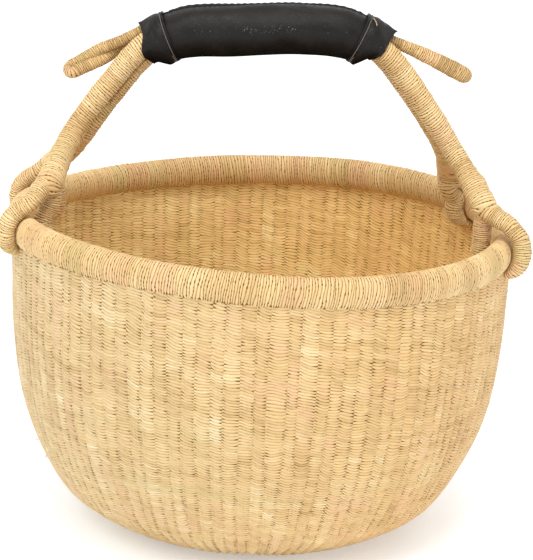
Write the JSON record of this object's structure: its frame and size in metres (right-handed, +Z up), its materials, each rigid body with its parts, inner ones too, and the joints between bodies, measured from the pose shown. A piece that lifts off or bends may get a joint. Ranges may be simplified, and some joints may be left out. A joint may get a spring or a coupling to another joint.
{
  "type": "woven market basket",
  "caption": "Round woven straw market basket with a coiled rim and an arched rope handle in a leather grip that leans on its rope forks.",
  "frame": {"origin": "centre of the flat underside of the base, on the floor", "axes": "+Z up; the handle arches from -X (left) to +X (right); the front of the basket faces -Y"},
  "size_m": [0.4182, 0.406, 0.4227],
  "materials": {
    "straw_weave": "dry twined straw, satin sheen",
    "straw_wrap": "tightly wound straw, satin sheen",
    "grass_core": "dry grass bundle, matte",
    "black_leather": "smooth black leather, slightly worn",
    "waxed_thread": "waxed thread"
  },
  "bodies": {
    "basket": {"bowl_weave": "straw_weave", "rim_wrap": "straw_wrap", "rim_core": "grass_core", "left_front_loop_wrap": "straw_wrap", "left_front_loop_core": "grass_core", "left_back_loop_wrap": "straw_wrap", "left_back_loop_core": "grass_core", "right_front_loop_wrap": "straw_wrap", "right_front_loop_core": "grass_core", "right_back_loop_wrap": "straw_wrap", "right_back_loop_core": "grass_core"},
    "handle": {"left_rope_core": "grass_core", "right_rope_core": "grass_core", "left_front_arm_wrap": "straw_wrap", "left_back_arm_wrap": "straw_wrap", "right_front_arm_wrap": "straw_wrap", "right_back_arm_wrap": "straw_wrap", "left_ear_wrap": "straw_wrap", "right_ear_wrap": "straw_wrap", "leather_grip": "black_leather", "left_cuff": "black_leather", "right_cuff": "black_leather", "left_cuff_thread": "waxed_thread", "right_cuff_thread": "waxed_thread", "grip_seam_thread": "waxed_thread"}
  },
  "joints": [
    {"name": "handle_lean", "type": "hinge", "parent": "basket", "child": "handle", "pos_m": [0, 0, 0.306], "axis": [1, 0, 0], "range_deg": [-20, 20], "stiffness_Nm_per_rad": 6}
  ]
}
